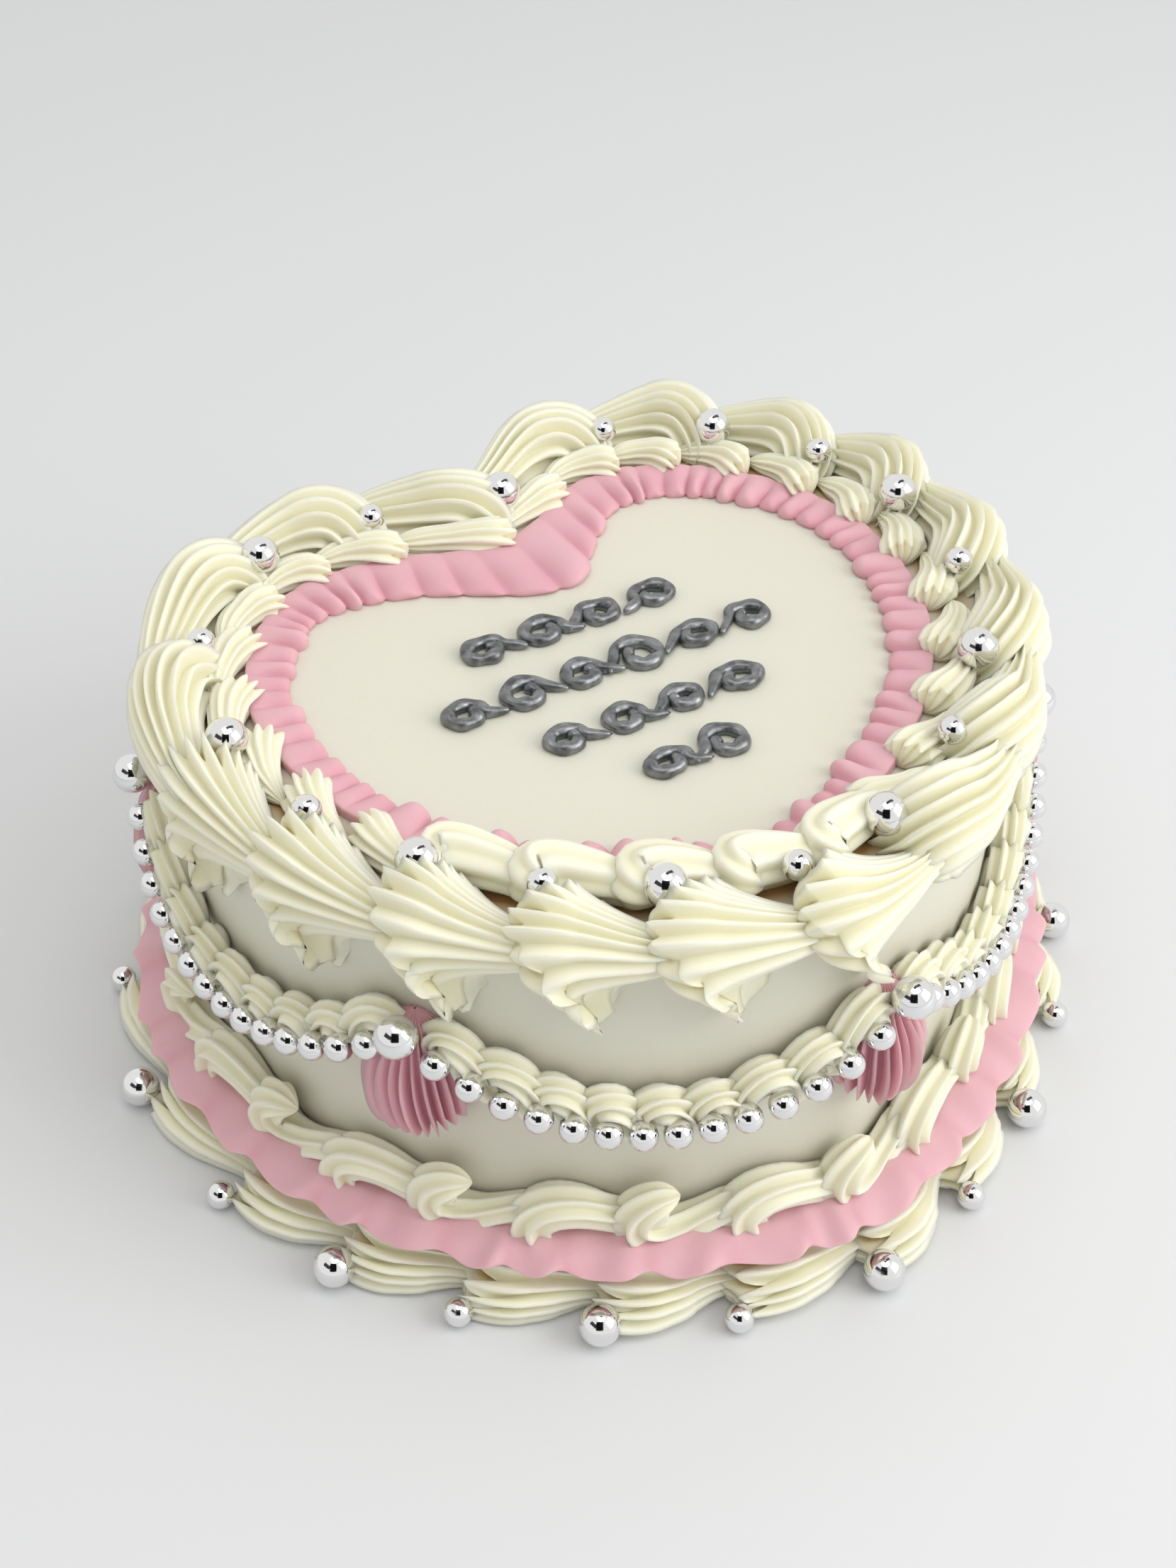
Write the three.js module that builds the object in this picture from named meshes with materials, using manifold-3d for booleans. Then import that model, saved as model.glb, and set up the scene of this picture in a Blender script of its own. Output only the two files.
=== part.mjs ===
// A heart-shaped buttercream cake: a smooth body, piped borders round its top and foot, six swags with
// strings of silver sugar balls, and pink ruffles and drops. Lengths are in millimetres, +Z is up, the
// origin is on the underside of the cake and the tip of the heart points towards -Y.
import * as THREE from "three";
import { mergeVertices } from "three/addons/utils/BufferGeometryUtils.js";
import Module from "manifold-3d";

const wasm = await Module();
wasm.setup();

// Driving dimensions
const CAKE_HEIGHT = 103;
const TOP_EDGE_ROUND = 3;
const CAKE_SIDES = 84;
const FAN_CENTRE = [0, -12]; // where the triangles of the cake's flat faces meet
const GAP = 0.3; // left between pieces that touch
const WALL_GAP = 0.8; // left at the wall, where the flats of a border cut inside the heart's curve
const LARGE_BALL = 10; // diameters of the sugar balls
const SMALL_BALL = 7;

// The heart, seen from above: the wall's distance from the origin at equal turns, anticlockwise from
// the tip. The turn opposite the tip is the notch, and the icing is a little uneven, as by hand.
const HEART_RADII = [
  111, 106, 103.5, 104, 105.5, 106.5, 104, 98, 85, 65, 78, 94, 101, 104, 104, 105, 106, 108,
];

// Places in a section are [out, up]: the distance out of the cake's wall, and the height.
const CAKE_TOP = CAKE_HEIGHT + GAP;
const RUFFLE_TOP = 18; // of the ruffle at the foot

// Shell borders. Each shell starts at a share of the way round the wall. By hand they come out uneven, so
// the large ones are listed. The section of a stroke is a fluted arc round its root, with its reach in
// each direction, from one angle in degrees to another, and then any corners behind it.
const TOP_SHELLS = {
  starts: [
    0.034, 0.092, 0.147, 0.209, 0.267, 0.316, 0.37, 0.425, 0.494,
    0.548, 0.605, 0.674, 0.741, 0.796, 0.847, 0.894, 0.938, 0.988,
  ],
  flutes: 5, depth: 0.16, root: [WALL_GAP, CAKE_TOP],
  outer: 8.2, inner: 10.5, above: 15.5, below: 14, from: -90, to: 180, corners: [[WALL_GAP, CAKE_TOP]],
};
const INNER_SHELLS = {
  starts: evenStarts(26), flutes: 3, depth: 0.16, root: [-14.8, CAKE_TOP],
  outer: 4.8, inner: 4.8, above: 8.5, below: 0, from: 0, to: 180, corners: [],
};
const FRONT_LOOPS = { share: 0.93, spread: 0.1, rise: 0.55 }; // where the inner shells stand taller
const BASE_SHELLS = {
  starts: [
    0.002, 0.043, 0.084, 0.132, 0.177, 0.223, 0.269, 0.314, 0.36, 0.406, 0.452,
    0.497, 0.543, 0.589, 0.634, 0.68, 0.731, 0.784, 0.832, 0.873, 0.916, 0.957,
  ],
  flutes: 4, depth: 0.15, root: [WALL_GAP, 0],
  outer: 23, inner: 0, above: 14.2, below: 0, from: 0, to: 90, corners: [[WALL_GAP, 0]],
};
const BASE_ROPE = {
  starts: evenStarts(28), flutes: 2, depth: 0.16, root: [WALL_GAP, RUFFLE_TOP + GAP],
  outer: 10, inner: 0, above: 7.5, below: 0, from: 0, to: 90, corners: [[WALL_GAP, RUFFLE_TOP + GAP]],
};
const ROPE_SHADE = 0.84; // how fat a rope's head is on the side that it turns away from
// How fat a stroke is along one shell, from the end of the last tail through the head to its own tail
const LONG_STROKE = [
  [0, 0.6],
  [0.15, 1],
  [0.45, 0.97],
  [0.78, 0.8],
];
const STROKE = [
  [0, 0.6],
  [0.2, 1],
  [0.65, 0.86],
];

// Ribbons piped with a flat tip. An edge point moves in and out and up and down with the pleats.
const TOP_RUFFLE = { pleats: 40, wave: 0.9, edge: -30.5, outside: -19.9, thick: 3.4 };
const NOTCH_FLAP = { reach: 8, spread: 0.025 }; // the top ruffle's broad flap at the notch
const BACK_FLAP = { reach: 6, spread: 0.11 }; // and its wider run along the back
const BASE_RUFFLE = { pleats: 35, wave: 1.1, edge: 18.8, edgeUp: 15.8, thick: 2, shelf: 10.8, under: 15 };

// Where the sugar balls lie, one at the start of each large shell, and how finely they are faceted
const TOP_BALL = [-8.8, 112.2];
const BASE_BALL_OUT = 24;
const LARGE_FACETS = { sides: 7, rows: 4 };
const SMALL_FACETS = { sides: 5, rows: 3 };

// Swags hang between six anchors, each with a pink drop and a large ball
const SWAG = {
  count: 6, phase: 0.018, top: 75, sag: 19, end: 4, loops: 9, sides: 4, deep: 9, tall: 8, neck: 0.78,
};
const CHAIN = { beads: 14, out: 10.2, below: 1.5 };
const ANCHOR_BALL = [11.5, 78];
const DROP = { foot: 44, top: 78, deep: 14, wide: 13.5, flutes: 5, depth: 0.12, backPoints: 2 };
const DROP_FATNESS = [
  [0, 0],
  [0.06, 0.8],
  [0.35, 1],
  [0.7, 0.55],
  [1, 0],
];

// Rows of scrolls piped on the top: the y of the row, and the number of scrolls on each side
const SCROLL_ROWS = [
  { y: 8, pairs: 2 },
  { y: -12, pairs: 3 },
  { y: -32, pairs: 2 },
  { y: -51, pairs: 1 },
];
const SCROLL = {
  pitch: 16, size: 6.4, turns: 1.2, steps: 7, shrink: 0.62, overlap: 2.6, cuts: 8,
  wide: 3.4, tall: 2.6, crown: 0.5, // the crown is how wide the stroke is on top, as a share
};

const BUTTERCREAM = { color: 0xf0ecda, roughness: 0.55, metalness: 0 };
const SMOOTH_ICING = { color: 0xe4e0cf, roughness: 0.5, metalness: 0 };
const PINK_BUTTERCREAM = { color: 0xedb9c6, roughness: 0.55, metalness: 0 };
const SILVER = { color: 0xd8d8da, roughness: 0.15, metalness: 1 };
const GREY_ICING = { color: 0x6e7074, roughness: 0.35, metalness: 0.6 };

// The heart and the directions out of it, as closed curves that share one parameter
const heartPoints = HEART_RADII.map((radius, i) => {
  const turn = (2 * Math.PI * i) / HEART_RADII.length;
  return new THREE.Vector3(radius * Math.sin(turn), -radius * Math.cos(turn), 0);
});
const heart = closedCurve(heartPoints);
const outwards = closedCurve(heartPoints.map(outwardAt));
const perimeter = heart.getLength();

function closedCurve(points) {
  const curve = new THREE.CatmullRomCurve3(points, true, "catmullrom", 0.5);
  curve.arcLengthDivisions = 800;
  return curve;
}

function outwardAt(point, i) {
  const before = heartPoints.at(i - 1);
  const after = heartPoints[(i + 1) % heartPoints.length];
  const along = after.clone().sub(before).normalize();
  return new THREE.Vector3(along.y, -along.x, 0);
}

// A place by its share of the way round from the tip, anticlockwise from above, and its place in the
// section there.
function around(share, [out, up]) {
  const t = heart.getUtoTmapping(THREE.MathUtils.euclideanModulo(share, 1));
  const at = heart.getPoint(t).addScaledVector(outwards.getPoint(t), out);
  return [at.x, at.y, up];
}

function indices(count) {
  return [...Array(count).keys()];
}

function evenStarts(count) {
  return indices(count).map((i) => i / count);
}

// Solids from closed geometries, and their joins and cuts
function solidOf(geometry) {
  geometry.deleteAttribute("normal");
  geometry.deleteAttribute("uv");
  const merged = mergeVertices(geometry);
  return new wasm.Manifold(
    new wasm.Mesh({
      numProp: 3,
      vertProperties: merged.attributes.position.array,
      triVerts: new Uint32Array(merged.index.array),
    }),
  );
}

function joined(solids) {
  return solids.reduce((all, one) => all.add(one));
}

function without(solid, cutters) {
  return cutters.reduce((rest, cutter) => rest.subtract(cutter), solid);
}

// Cutting can leave crumbs, so the largest body is kept.
function largestBody(solid) {
  const bodies = solid.decompose();
  return bodies.reduce((best, body) => (body.volume() > best.volume() ? body : best));
}

// Moves the vertices of a geometry's grid: place gets the column and the row of each.
function formed(geometry, columns, rows, place) {
  const { position, uv } = geometry.attributes;
  for (let i = 0; i < position.count; i++) {
    const column = Math.round(uv.getX(i) * columns) % columns;
    const row = Math.round(uv.getY(i) * rows);
    position.setXYZ(i, ...place(column, row));
  }
  return solidOf(geometry);
}

// A form with two ends, from a sphere's grid: row 0 and the last row are its ends.
function endedForm(sides, rows, place) {
  return formed(new THREE.SphereGeometry(1, sides, rows), sides, rows, place);
}

// A ring, from a torus's grid: the steps go round the heart and the sides round the section.
function ringForm(steps, sides, place) {
  const torus = new THREE.TorusGeometry(1, 0.5, sides, steps);
  return formed(torus, steps, sides, (step, side) => place(step, side % sides));
}

// The cake itself: an upright wall with a rounded top edge
function cakeForm() {
  const bevel = TOP_EDGE_ROUND * (1 - Math.SQRT1_2);
  const rims = [
    [0, 0],
    [0, CAKE_HEIGHT - TOP_EDGE_ROUND],
    [-bevel, CAKE_HEIGHT - bevel],
    [-TOP_EDGE_ROUND, CAKE_HEIGHT],
  ];
  return endedForm(CAKE_SIDES, rims.length + 1, (side, row) => {
    if (row === 0) return [...FAN_CENTRE, 0];
    if (row > rims.length) return [...FAN_CENTRE, CAKE_HEIGHT];
    return around(side / CAKE_SIDES, rims[row - 1]);
  });
}

// A point of a fluted arc round a root, with crests and valleys by turns. The rise stretches it upwards.
function flutedPoint(size, index, fatness, rise) {
  const share = index / (size.flutes * 2);
  const angle = THREE.MathUtils.degToRad(size.from + (size.to - size.from) * share);
  const reach = fatness * (index % 2 ? 1 : 1 - size.depth);
  const across = Math.cos(angle) * (Math.cos(angle) > 0 ? size.outer : size.inner);
  const high = Math.sin(angle) * (Math.sin(angle) > 0 ? size.above * rise : size.below);
  return [size.root[0] + reach * across, size.root[1] + reach * high];
}

// A border of shells, each piped over the tail of the last. The swell may depend on the shell and the
// side of the section, and the rise on the share of the way round.
function shellBorder(size, stroke, { swell = () => 1, rise = () => 1 } = {}) {
  const arc = size.flutes * 2 + 1;
  const steps = size.starts.length * stroke.length;
  return ringForm(steps, arc + size.corners.length, (step, side) => {
    const shell = Math.floor(step / stroke.length);
    const [along, fatness] = stroke[step % stroke.length];
    const share = size.starts[shell] + along * pitchAfter(size.starts, shell);
    if (side >= arc) return around(share, size.corners[side - arc]);
    return around(share, flutedPoint(size, side, fatness * swell(shell, side), rise(share)));
  });
}

function pitchAfter(starts, i) {
  const next = starts[(i + 1) % starts.length];
  return THREE.MathUtils.euclideanModulo(next - starts[i], 1);
}

// In the rope, the heads turn up and down by turns.
function ropeSwell(shell, side) {
  const upward = side > BASE_ROPE.flutes;
  return (shell % 2 === 0) === upward ? 1 : ROPE_SHADE;
}

function innerRise(share) {
  const away = THREE.MathUtils.euclideanModulo(share - FRONT_LOOPS.share + 0.5, 1) - 0.5;
  return 1 + FRONT_LOOPS.rise * Math.exp(-((away / FRONT_LOOPS.spread) ** 4));
}

function flapReach({ reach, spread }, share) {
  return reach * Math.exp(-(((share - 0.5) / spread) ** 2));
}

function topRuffle() {
  const { pleats, wave, edge, outside, thick } = TOP_RUFFLE;
  const steps = pleats * 2;
  return ringForm(steps, 4, (step, side) => {
    const share = step / steps;
    const pleat = step % 2 ? wave : -wave;
    const inside = edge + pleat - flapReach(NOTCH_FLAP, share) - flapReach(BACK_FLAP, share);
    const section = [
      [outside, CAKE_TOP],
      [outside, CAKE_TOP + thick],
      [inside, CAKE_TOP + thick + pleat / 2],
      [inside, CAKE_TOP],
    ];
    return around(share, section[side]);
  });
}

function baseRuffle() {
  const { pleats, wave, edge, edgeUp, thick, shelf, under } = BASE_RUFFLE;
  const steps = pleats * 2;
  return ringForm(steps, 5, (step, side) => {
    const pleat = step % 2 ? wave : -wave;
    const section = [
      [edge + pleat, edgeUp - thick + pleat / 2],
      [edge + pleat, edgeUp + pleat / 2],
      [shelf, RUFFLE_TOP],
      [WALL_GAP, RUFFLE_TOP],
      [WALL_GAP, under],
    ];
    return around(step / steps, section[side]);
  });
}

// Sugar balls
function ball(diameter, [x, y, z], { sides, rows }) {
  const sphere = new THREE.SphereGeometry(diameter / 2, sides, rows);
  return solidOf(sphere.rotateX(Math.PI / 2).translate(x, y, z));
}

function largeBall(place) {
  return ball(LARGE_BALL, place, LARGE_FACETS);
}

function largeBallCutter(place) {
  return ball(LARGE_BALL + 2 * GAP, place, LARGE_FACETS);
}

function smallBall(place) {
  return ball(SMALL_BALL, place, SMALL_FACETS);
}

// The balls lie where one shell meets the next, the large and the small ones by turns.
function topBallPlaces() {
  return TOP_SHELLS.starts.map((share) => around(share, TOP_BALL));
}

function baseBallPlaces(diameter) {
  return BASE_SHELLS.starts.map((share) => around(share, [BASE_BALL_OUT, diameter / 2]));
}

function odd(place, i) {
  return i % 2 === 1;
}

function even(place, i) {
  return i % 2 === 0;
}

// One swag of overlapping loops on the wall, with its string of beads
function swag(start) {
  const inset = SWAG.end / perimeter;
  const span = 1 / SWAG.count - 2 * inset;
  const height = (w) => SWAG.top - SWAG.sag * 4 * w * (1 - w);
  const shareAt = (w) => start + inset + span * w;
  const rows = SWAG.loops * 2;
  const loops = endedForm(SWAG.sides, rows, (side, row) => {
    const w = row / rows;
    if (row === 0 || row === rows) return around(shareAt(w), [WALL_GAP, height(w)]);
    const swell = row % 2 ? 1 : SWAG.neck;
    const angle = Math.PI * (0.5 - side / (SWAG.sides - 1));
    const out = WALL_GAP + SWAG.deep * swell * Math.cos(angle);
    return around(shareAt(w), [out, height(w) + SWAG.tall * swell * Math.sin(angle)]);
  });
  const beads = indices(CHAIN.beads).map((i) => {
    const w = (i + 0.5) / CHAIN.beads;
    return smallBall(around(shareAt(w), [CHAIN.out, height(w) - CHAIN.below]));
  });
  return joined([loops, ...beads]);
}

// A pink drop: a fluted stroke pulled up the wall, broad at its foot, with its back along the wall
function drop(share, grow) {
  const front = DROP.flutes * 2 + 1;
  return endedForm(front + DROP.backPoints, DROP_FATNESS.length - 1, (side, row) => {
    const [rise, fatness] = DROP_FATNESS[row];
    const up = DROP.foot + (DROP.top - DROP.foot) * rise;
    const half = fatness ? DROP.wide * fatness + grow : 0;
    if (side >= front) {
      const backwards = 1 - (2 * (side - front + 1)) / (DROP.backPoints + 1);
      return around(share + (half * backwards) / perimeter, [WALL_GAP, up]);
    }
    const angle = Math.PI * (side / (front - 1) - 0.5);
    const flute = side % 2 ? 1 : 1 - DROP.depth;
    const deep = fatness ? DROP.deep * fatness + grow : 0;
    const sideways = half * flute * Math.sin(angle);
    return around(share + sideways / perimeter, [WALL_GAP + deep * flute * Math.cos(angle), up]);
  });
}

// One scroll, a spiral stroke whose foot overlaps the last scroll; side is 1 or -1 and mirrors it
function scroll(x, y, side) {
  const spiral = indices(SCROLL.steps + 1).map((i) => {
    const turned = (i / SCROLL.steps) * SCROLL.turns * 2 * Math.PI;
    const radius = SCROLL.size * (1 - (SCROLL.shrink * i) / SCROLL.steps);
    const across = SCROLL.pitch / 2 - radius * Math.cos(turned);
    return new THREE.Vector3(x + side * across, y + radius * Math.sin(turned), CAKE_TOP);
  });
  const foot = new THREE.Vector3(x - side * SCROLL.overlap, y - SCROLL.size / 2, CAKE_TOP);
  const path = new THREE.CatmullRomCurve3([foot, ...spiral]);
  const half = SCROLL.wide / 2;
  const section = new THREE.Shape([
    new THREE.Vector2(0, -half),
    new THREE.Vector2(0, half),
    new THREE.Vector2(-SCROLL.tall, half * SCROLL.crown),
    new THREE.Vector2(-SCROLL.tall, -half * SCROLL.crown),
  ]);
  const stroke = { steps: SCROLL.cuts, extrudePath: path, bevelEnabled: false };
  return solidOf(new THREE.ExtrudeGeometry(section, stroke));
}

function scrollRow({ y, pairs }) {
  return joined(
    indices(pairs).flatMap((i) => [scroll(i * SCROLL.pitch, y, 1), scroll(-i * SCROLL.pitch, y, -1)]),
  );
}

// Puts a solid in the scene as one named mesh
function piece(name, solid, look) {
  const mesh = solid.getMesh();
  const geometry = new THREE.BufferGeometry();
  geometry.setAttribute("position", new THREE.BufferAttribute(mesh.vertProperties, 3));
  geometry.setIndex(new THREE.BufferAttribute(mesh.triVerts, 1));
  const made = new THREE.Mesh(geometry, new THREE.MeshStandardMaterial(look));
  made.name = name;
  return made;
}

function topDecoration() {
  const large = topBallPlaces().filter(even);
  const small = topBallPlaces().filter(odd);
  const cutters = large.map(largeBallCutter);
  const inner = without(shellBorder(INNER_SHELLS, STROKE, { rise: innerRise }), cutters);
  const outer = joined([shellBorder(TOP_SHELLS, LONG_STROKE), ...small.map(smallBall)]);
  return [
    piece("top_ruffle", topRuffle(), PINK_BUTTERCREAM),
    piece("top_inner_border", largestBody(inner), BUTTERCREAM),
    piece("top_outer_border", largestBody(without(outer, cutters)), BUTTERCREAM),
    ...large.map((place, i) => piece(`top_ball_${i + 1}`, largeBall(place), SILVER)),
  ];
}

function sideDecoration() {
  const anchors = indices(SWAG.count).map((i) => i / SWAG.count + SWAG.phase);
  const places = anchors.map((share) => around(share, ANCHOR_BALL));
  const cutters = [...places.map(largeBallCutter), ...anchors.map((share) => drop(share, GAP))];
  return anchors.flatMap((share, i) => [
    piece(`swag_${i + 1}`, largestBody(without(swag(share), cutters)), BUTTERCREAM),
    piece(`drop_${i + 1}`, without(drop(share, 0), [largeBallCutter(places[i])]), PINK_BUTTERCREAM),
    piece(`swag_ball_${i + 1}`, largeBall(places[i]), SILVER),
  ]);
}

function footDecoration() {
  const large = baseBallPlaces(LARGE_BALL).filter(even);
  const small = baseBallPlaces(SMALL_BALL).filter(odd);
  const shells = joined([shellBorder(BASE_SHELLS, STROKE), ...small.map(smallBall)]);
  return [
    piece("base_shells", largestBody(without(shells, large.map(largeBallCutter))), BUTTERCREAM),
    piece("base_ruffle", baseRuffle(), PINK_BUTTERCREAM),
    piece("base_rope", shellBorder(BASE_ROPE, STROKE, { swell: ropeSwell }), BUTTERCREAM),
    ...large.map((place, i) => piece(`base_ball_${i + 1}`, largeBall(place), SILVER)),
  ];
}

const group = new THREE.Group();
group.add(piece("cake", cakeForm(), SMOOTH_ICING));
group.add(...topDecoration());
group.add(...sideDecoration());
group.add(...footDecoration());
SCROLL_ROWS.forEach((row, i) => {
  group.add(piece(`scroll_row_${i + 1}`, scrollRow(row), GREY_ICING));
});

export default group;
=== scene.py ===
# %% [markdown]
# # A piped buttercream cake
# This lesson dresses the imported model of a heart-shaped cake. The real cake is smooth icing with
# everything else piped on it through metal tips, so almost every shape here is one stroke of a piping
# bag: a section that moves along a path while it swells and fades. We load the frame first. The icing
# may not grow past it.

# %% Load the frame
import math

import bmesh
import bpy
import numpy as np
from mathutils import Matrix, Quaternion, Vector


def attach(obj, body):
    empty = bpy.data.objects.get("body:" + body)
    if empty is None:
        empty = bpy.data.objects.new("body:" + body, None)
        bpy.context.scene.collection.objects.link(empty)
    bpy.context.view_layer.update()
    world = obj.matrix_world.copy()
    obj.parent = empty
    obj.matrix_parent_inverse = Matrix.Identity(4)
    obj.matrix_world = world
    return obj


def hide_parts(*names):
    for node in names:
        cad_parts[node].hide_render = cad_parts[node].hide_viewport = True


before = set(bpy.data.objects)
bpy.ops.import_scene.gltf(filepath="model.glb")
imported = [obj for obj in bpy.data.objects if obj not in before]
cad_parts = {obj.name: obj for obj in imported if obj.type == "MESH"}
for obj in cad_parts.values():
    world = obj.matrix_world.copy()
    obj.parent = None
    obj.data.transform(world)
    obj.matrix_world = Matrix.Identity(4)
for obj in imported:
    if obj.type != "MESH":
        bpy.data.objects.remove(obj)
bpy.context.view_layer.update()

# %% [markdown]
# ## Units and a camera
# Cake makers think in millimetres, so sizes below are in millimetres and one factor turns them into
# Blender's metres. The camera stands where the photograph was taken: above the cake, a little to its
# left, looking down at forty degrees.

# %% Units and camera
MM = 0.001
CAMERA_PLACE = Vector((-0.2213, -0.3834, 0.4321))
CAMERA_FORWARD = Vector((0.3817, 0.6610, -0.6461))
CAMERA_ROLL = math.radians(-0.22)
CAMERA_LENS = 51.2


def place_camera():
    camera = bpy.data.objects.new("camera", bpy.data.cameras.new("camera"))
    camera.data.lens = CAMERA_LENS
    camera.data.clip_start = 0.02
    camera.location = CAMERA_PLACE
    camera.rotation_mode = "QUATERNION"
    roll = Quaternion((0, 0, 1), CAMERA_ROLL)
    camera.rotation_quaternion = CAMERA_FORWARD.to_track_quat("-Z", "Y") @ roll
    bpy.context.scene.collection.objects.link(camera)
    bpy.context.scene.camera = camera
    return camera


print("camera at", tuple(round(c, 3) for c in place_camera().location))

# %% [markdown]
# ## The heart
# The wall of the cake is a smooth closed curve through eighteen points, a little uneven, as a hand
# ices it. Every piped border follows that curve, so we write one helper that turns a share of the way
# round the wall, a distance out of it and a height into a place. It works on whole arrays at once.

# %% The heart and places round it
HEART_RADII = [
    111, 106, 103.5, 104, 105.5, 106.5, 104, 98, 85, 65, 78, 94, 101, 104, 104, 105, 106, 108,
]
LENGTH_STEPS = 4000
turns = 2 * np.pi * np.arange(len(HEART_RADII)) / len(HEART_RADII)
heart_points = np.stack([np.sin(turns), -np.cos(turns)], 1) * np.array(HEART_RADII)[:, None]
alongs = np.roll(heart_points, -1, 0) - np.roll(heart_points, 1, 0)
alongs /= np.linalg.norm(alongs, axis=1)[:, None]
outwards = np.stack([alongs[:, 1], -alongs[:, 0]], 1)


def on_closed_curve(points, t):
    """A smooth closed curve through points, at t from 0 to 1."""
    scaled = np.mod(t, 1) * len(points)
    i = np.floor(scaled).astype(int)
    f = (scaled - i)[..., None]
    a, b, c, d = (points[(i + k) % len(points)] for k in (-1, 0, 1, 2))
    squared, cubed = 2 * a - 5 * b + 4 * c - d, 3 * b - a - 3 * c + d
    return 0.5 * (2 * b + (c - a) * f + squared * f**2 + cubed * f**3)


steps = np.linspace(0, 1, LENGTH_STEPS + 1)
pieces_of_way = np.linalg.norm(np.diff(on_closed_curve(heart_points, steps), axis=0), axis=1)
way = np.concatenate([[0], np.cumsum(pieces_of_way)])
PERIMETER = way[-1]


def around(share, out, up):
    """Places in metres, from the share of the way round the wall, the distance out of it and the height."""
    share, out, up = np.broadcast_arrays(share, out, up)
    t = np.interp(np.mod(share, 1) * PERIMETER, way, steps)
    flat = on_closed_curve(heart_points, t) + on_closed_curve(outwards, t) * out[..., None]
    return np.concatenate([flat, up[..., None]], -1) * MM


print("the wall is", round(PERIMETER), "mm round")

# %% [markdown]
# ## Wrapping a grid
# A surface that a tip leaves behind has a regular skin: ridges run along it and the section runs round
# it. So we take Blender's own grid, and a form says where each of its points goes. Doubled points are
# merged afterwards, which closes seams and poles. The form also gives one number for each point, such as how
# deep it lies between the ridges, which the icing's material reads later to paint shade.

# %% Wrapping a grid
DOUBLES = 2e-6


def wrap(bm, columns, rows, form):
    """Adds one wrapped grid to a bmesh. The form turns shares across and along into places and depths."""
    made = bmesh.ops.create_grid(bm, x_segments=columns, y_segments=rows, size=1)["verts"]
    flat = np.array([v.co[:2] for v in made])
    places, depths = form((flat[:, 0] + 1) / 2, (flat[:, 1] + 1) / 2)
    depth = bm.verts.layers.float["depth"]
    for vert, place, value in zip(made, places.tolist(), depths.tolist()):
        vert.co = place
        vert[depth] = value
    bmesh.ops.remove_doubles(bm, verts=made, dist=DOUBLES)


def new_bmesh():
    bm = bmesh.new()
    bm.verts.layers.float.new("depth")
    return bm


def finish_piece(name, bm, material, nodes):
    """Turns a bmesh into a finished piece that stands for its nodes."""
    bmesh.ops.recalc_face_normals(bm, faces=bm.faces)
    for face in bm.faces:
        face.smooth = max(vert.co.z for vert in face.verts) > DOUBLES
    mesh = bpy.data.meshes.new(name)
    bm.to_mesh(mesh)
    bm.free()
    mesh.materials.append(material)
    piece = bpy.data.objects.new(name, mesh)
    bpy.context.scene.collection.objects.link(piece)
    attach(piece, "root")
    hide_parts(*nodes)
    mesh.calc_loop_triangles()
    print(name, "has", len(mesh.loop_triangles), "triangles")
    return piece


print("points nearer than", DOUBLES, "m are merged")

# %% [markdown]
# ## Keys and paths
# Icing swells and fades smoothly, and no formula of one line says how. So we give a few keys, such as how
# fat a stroke is at its start, its middle and its tail, and draw a smooth curve through them. A path is
# the same thing in three directions. Both work on whole arrays of places.

# %% Keys and paths
def keyed(value, keys):
    """A smooth curve through (place, height) keys, read at an array of places."""
    at = np.array([k[0] for k in keys], float)
    to = np.array([k[1] for k in keys], float)
    rise = np.diff(to) / np.diff(at)
    slope = np.concatenate([[rise[0]], (rise[1:] + rise[:-1]) / 2, [rise[-1]]])
    value = np.clip(value, at[0], at[-1])
    i = np.clip(np.searchsorted(at, value, side="right") - 1, 0, len(at) - 2)
    gap = at[i + 1] - at[i]
    f = (value - at[i]) / gap
    bend_low, bend_high = slope[i] * gap, slope[i + 1] * gap
    return (
        to[i] * (2 * f**3 - 3 * f**2 + 1)
        + bend_low * (f**3 - 2 * f**2 + f)
        + to[i + 1] * (3 * f**2 - 2 * f**3)
        + bend_high * (f**3 - f**2)
    )


def on_path(path, s):
    """Places on a smooth path through points that are spread evenly over 0 to 1."""
    marks = np.linspace(0, 1, len(path))
    return np.stack([keyed(s, list(zip(marks, path[:, k]))) for k in range(path.shape[1])], -1)


def normalised(vectors):
    return vectors / np.maximum(np.linalg.norm(vectors, axis=-1, keepdims=True), 1e-9)


LOOK_AHEAD = 0.012


def path_frame(path, s, face):
    """The middle of a stroke at s, and its three directions there: along, sideways and high."""
    ahead = on_path(path, np.minimum(s + LOOK_AHEAD, 1))
    behind = on_path(path, np.maximum(s - LOOK_AHEAD, 0))
    along = normalised(ahead - behind)
    side = normalised(np.cross(np.array(face, float), along))
    return on_path(path, s), along, side, np.cross(along, side)


print("halfway between keys 0 and 1:", keyed(np.array([0.5]), [(0, 0), (1, 1)])[0])

# %% [markdown]
# ## The section that a star tip leaves
# A star tip is a small metal crown, and each of its slots leaves one ridge. The crests are rounded and the
# valleys between them are sharp, as soft icing leaves them. No two ridges are quite the same size, since
# air bubbles and crumbs drag in the slots. Where a key depends on the side of the section, such as the
# upper or the outer side, it is given by degrees round it: 0 looks out of the wall and 90 looks up.

# %% The section of a star tip
CREST_ROUND = 0.012


def star_section(tip, u, ridge_size):
    """How deep each point lies between the ridges, from 0 on a crest to 1, and how uneven its ridge is."""
    wave = np.sin(tip["ridges"] * np.pi * u) ** 2
    valley = (np.sqrt(wave + CREST_ROUND) - math.sqrt(CREST_ROUND)) / (
        math.sqrt(1 + CREST_ROUND) - math.sqrt(CREST_ROUND)
    )
    which = np.round(tip["ridges"] * u).astype(int) % tip["ridges"]
    return valley, ridge_size[which] * (1 - valley)


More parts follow.
